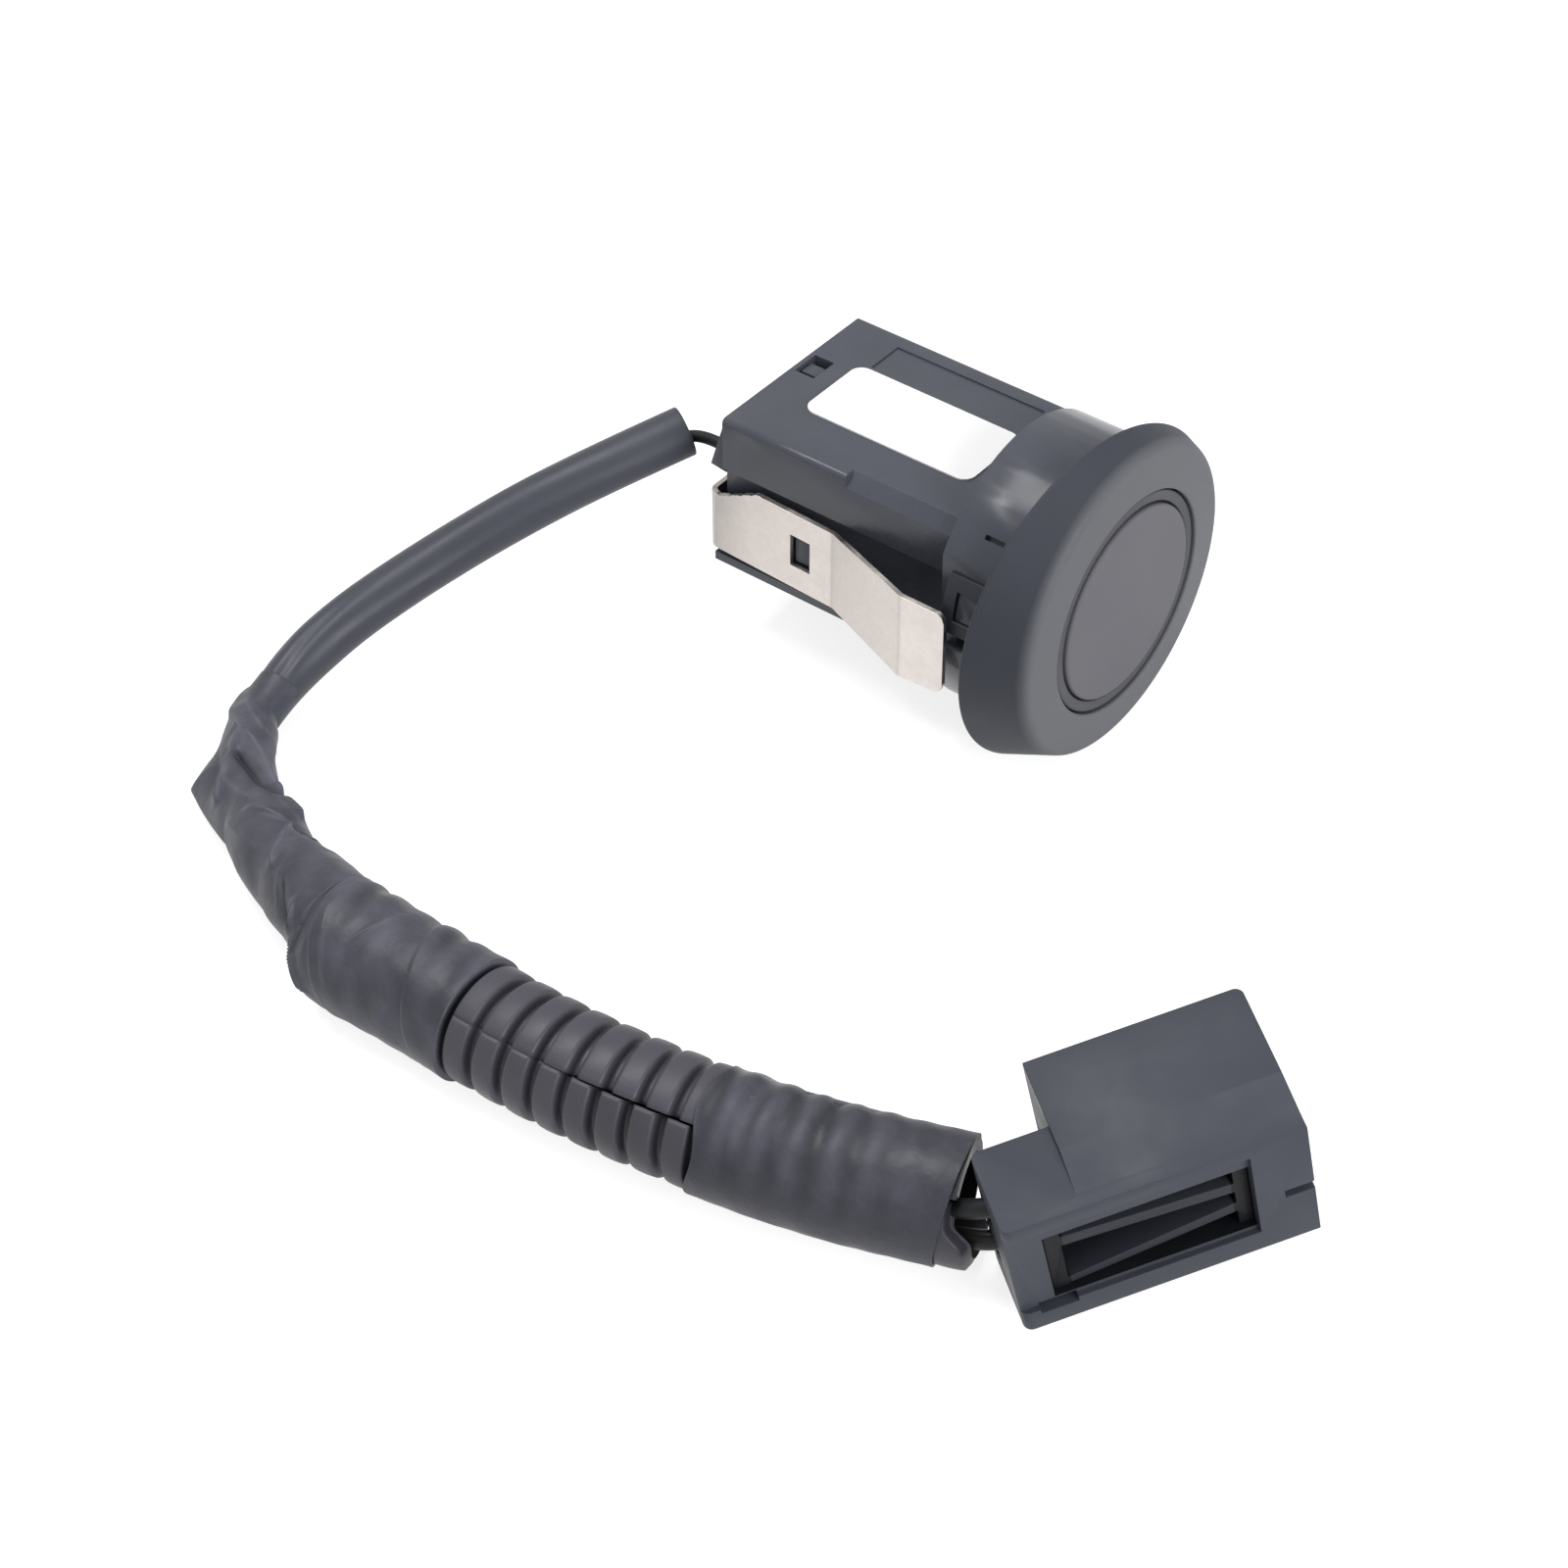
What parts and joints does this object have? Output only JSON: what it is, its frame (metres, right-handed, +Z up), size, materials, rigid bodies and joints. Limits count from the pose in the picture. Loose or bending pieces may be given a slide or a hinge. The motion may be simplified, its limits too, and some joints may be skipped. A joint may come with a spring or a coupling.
{
  "type": "parking sensor",
  "caption": "Ultrasonic parking sensor: round bezel and grey transducer face, boxed body with a steel spring clip, short taped harness in ribbed conduit and a plug.",
  "frame": {"origin": "on the sensing axis, level with the rearmost edge of the bezel's slanted rim", "axes": "+X out of the bumper along the sensing axis, +Z up, +Y to the left seen from in front"},
  "size_m": [0.0885, 0.0698, 0.0248],
  "materials": {
    "bezel_plastic": "fine matt grain, slightly worn edge",
    "isolator_rubber": "plain matt rubber",
    "sensor_face": "flat grey paint on the aluminium cup",
    "piezo": "silvered ceramic on brass",
    "foam": "closed-cell foam",
    "lead_insulation": "thin insulated leads",
    "housing_plastic": "satin moulded plastic",
    "board": "coated board",
    "ferrite": "sintered ferrite",
    "chip": "moulded package",
    "capacitor": "fired ceramic",
    "clip_steel": "bright rolled spring steel",
    "label_white": "plain white film",
    "wire_black": "thin insulated wire",
    "sleeve_plastic": "satin extruded sleeve",
    "tape": "stretched vinyl tape with soft wrinkles",
    "conduit_plastic": "satin ribbed conduit",
    "plug_plastic": "satin moulded plastic",
    "terminal_metal": "plated terminals"
  },
  "bodies": {
    "root": {"bezel_ring": "bezel_plastic", "isolator_ring": "isolator_rubber", "transducer_cup": "sensor_face", "piezo_disc": "piezo", "damping_pad": "foam", "transducer_leads": "lead_insulation", "sensor_housing": "housing_plastic", "rear_cover": "housing_plastic", "circuit_board": "board", "transformer": "ferrite", "control_chip": "chip", "capacitors": "capacitor", "spring_clip": "clip_steel", "label": "label_white", "cable_grommet": "isolator_rubber", "lead_wire": "wire_black", "sleeve": "sleeve_plastic", "junction_tape": "tape", "conduit": "conduit_plastic", "conduit_tape_rear": "tape", "conduit_tape_front": "tape", "plug_wires": "wire_black", "plug_housing": "plug_plastic", "plug_retainer": "plug_plastic", "terminals": "terminal_metal"}
  },
  "joints": []
}
